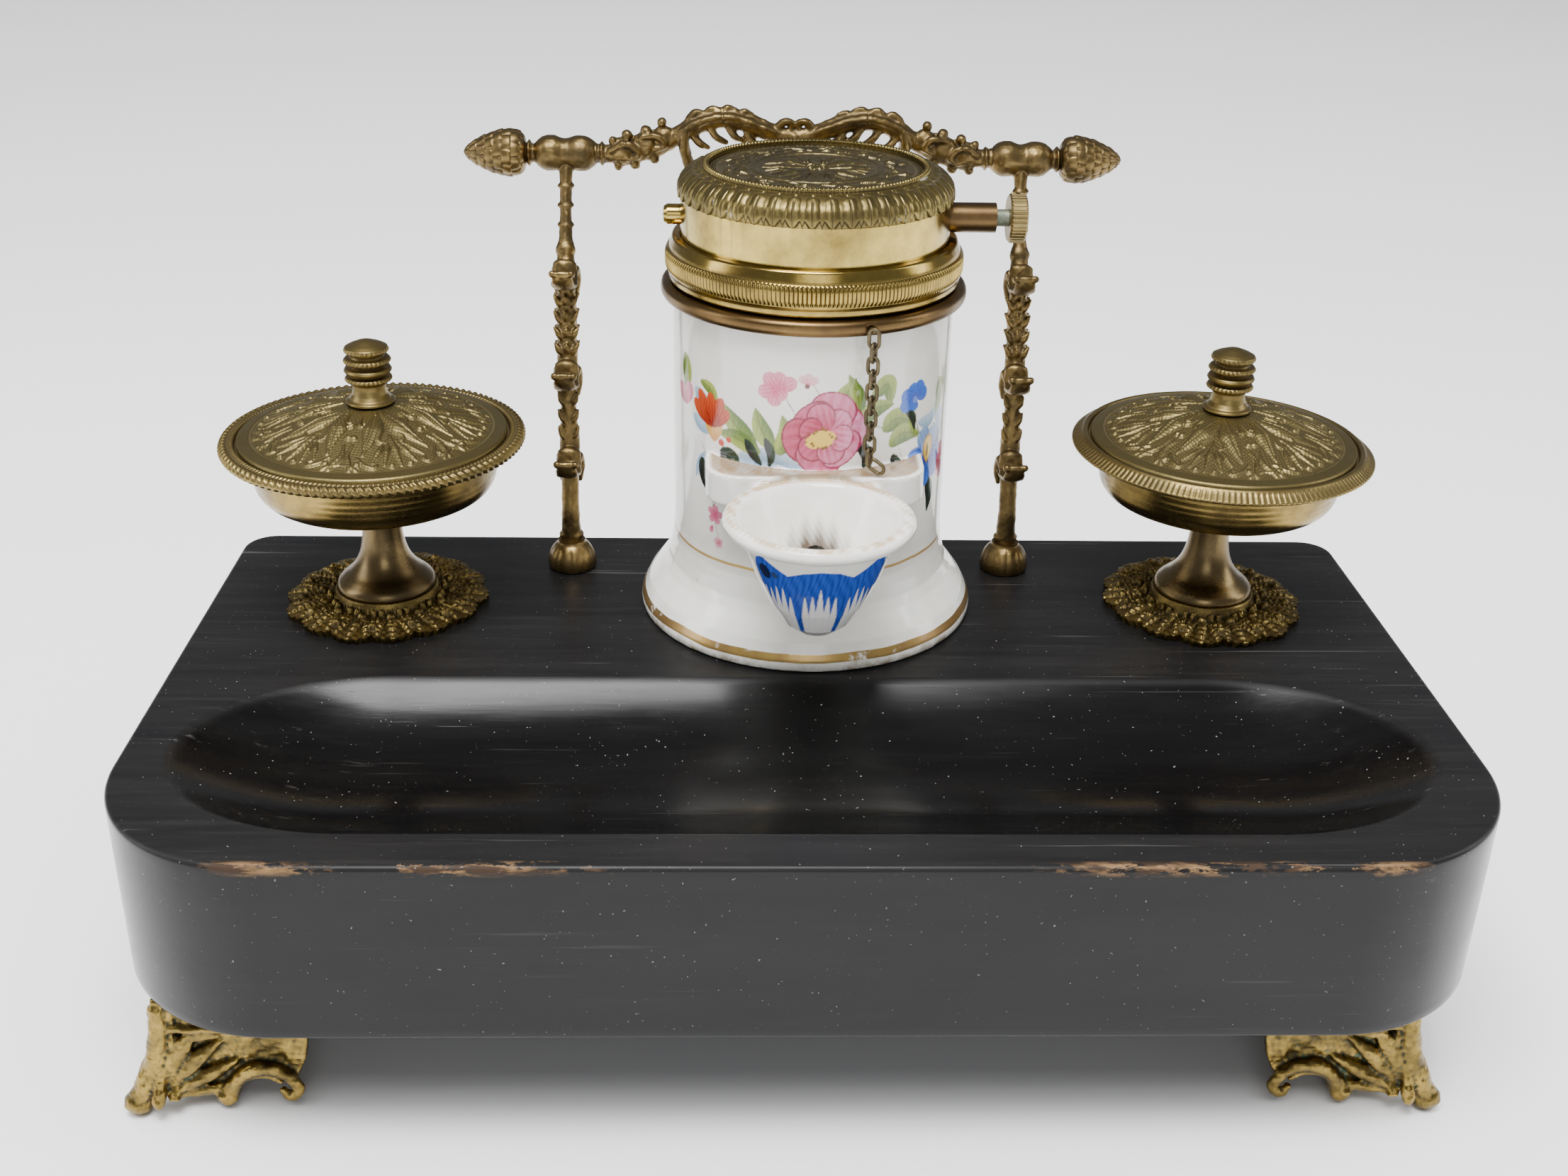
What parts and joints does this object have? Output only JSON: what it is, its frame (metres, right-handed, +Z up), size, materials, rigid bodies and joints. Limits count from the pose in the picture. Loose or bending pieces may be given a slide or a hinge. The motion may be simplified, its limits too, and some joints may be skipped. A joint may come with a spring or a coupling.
{
  "type": "pump inkwell on a desk stand",
  "caption": "Porcelain pump inkwell with a dipping cup on an ebonised stand, with lidded brass dishes, pen trough and pen rack.",
  "frame": {"origin": "on the floor that the feet stand on, at the middle of the object's outline in X and Y", "axes": "+X to the right seen from the trough side, +Y towards the back, +Z up"},
  "size_m": [0.3, 0.168, 0.1912],
  "materials": {
    "ebonised_wood": "ebonised and worn, semi-gloss",
    "gilt_brass": "cast and gilded, with green traces",
    "bronze": "cast, dark patina with rubbed high spots",
    "lid_brass": "pressed, dull olive-gold patina",
    "spun_brass": "spun, brushed",
    "polished_brass": "turned and polished",
    "leaf_brass": "cast leaves, pale dirt in the hollows",
    "collar_brass": "turned, browned",
    "chain_brass": "dull wire",
    "porcelain": "glazed, painted flowers and gold lines",
    "leather": "oiled",
    "steel": "blackened",
    "ebonite": "turned, satin"
  },
  "bodies": {
    "stand": {"base_block": "ebonised_wood", "foot_front_left": "gilt_brass", "foot_front_right": "gilt_brass", "foot_rear_left": "gilt_brass", "foot_rear_right": "gilt_brass", "foot_screws": "steel", "rosette_left": "bronze", "rosette_right": "bronze", "dish_stem_left": "bronze", "dish_stem_right": "bronze", "bowl_left": "spun_brass", "bowl_right": "spun_brass", "rim_ring_left": "lid_brass", "rim_ring_right": "lid_brass", "dish_bolts": "steel", "dish_nuts": "steel", "rack_post_left": "bronze", "rack_post_right": "bronze", "post_shoe_left": "bronze", "post_shoe_right": "bronze", "rack_bar": "bronze", "acorn_left": "bronze", "acorn_right": "bronze", "post_bolts": "steel", "post_nuts": "steel"},
    "left_lid": {"lid_left": "lid_brass", "finial_left": "lid_brass"},
    "right_lid": {"lid_right": "lid_brass", "finial_right": "lid_brass"},
    "well": {"well_foot": "porcelain", "porcelain_well": "porcelain", "dipping_cup": "porcelain", "neck_collar": "collar_brass", "neck_gasket": "leather", "chain_eye": "chain_brass"},
    "chain_upper": {"chain_upper_links": "chain_brass"},
    "chain_lower": {"chain_lower_links": "chain_brass"},
    "head": {"head_drum": "polished_brass", "leaf_border": "leaf_brass", "medallion": "bronze", "guide_plate": "polished_brass", "guide_screws": "steel", "shaft_tube": "collar_brass", "pivot_stub": "polished_brass"},
    "union_ring": {"knurled_ring": "polished_brass"},
    "drive": {"drive_shaft": "collar_brass", "pinion": "polished_brass", "knurled_knob": "polished_brass", "knob_pin": "steel"},
    "pump": {"plunger": "ebonite", "rack_rod": "polished_brass", "rod_nut": "steel"}
  },
  "joints": [
    {"name": "well_lift", "type": "slide", "parent": "stand", "child": "well", "axis": [0, 0, 1], "range_m": [0, 0.09]},
    {"name": "head_lift", "type": "slide", "parent": "well", "child": "head", "axis": [0, 0, 1], "range_m": [0, 0.05]},
    {"name": "ring_turn", "type": "hinge", "parent": "head", "child": "union_ring", "pos_m": [0.0022, 0.03755, 0.163], "axis": [0, 0, 1], "range_deg": [0, 360]},
    {"name": "plunger_travel", "type": "slide", "parent": "head", "child": "pump", "axis": [0, 0, -1], "range_m": [0, 0.007]},
    {"name": "knob_turn", "type": "hinge", "parent": "head", "child": "drive", "pos_m": [0.0022, 0.03755, 0.1728], "axis": [-1, 0, 0], "range_deg": [0, 126]},
    {"name": "lid_left_lift", "type": "slide", "parent": "stand", "child": "left_lid", "axis": [0, 0, 1], "range_m": [0, 0.03]},
    {"name": "lid_right_lift", "type": "slide", "parent": "stand", "child": "right_lid", "axis": [0, 0, 1], "range_m": [0, 0.03]},
    {"name": "chain_swing", "type": "hinge", "parent": "well", "child": "chain_upper", "pos_m": [0.01426, 0.00151, 0.15268], "axis": [-0.9483, -0.3173, 0], "range_deg": [0, 30]},
    {"name": "chain_bend", "type": "hinge", "parent": "chain_upper", "child": "chain_lower", "pos_m": [0.01426, 0.00151, 0.13715], "axis": [-0.9483, -0.3173, 0], "range_deg": [0, 30]}
  ],
  "couplings": [
    {"joint": "knob_turn", "follows": "plunger_travel", "rad_per_m": 312.5}
  ]
}
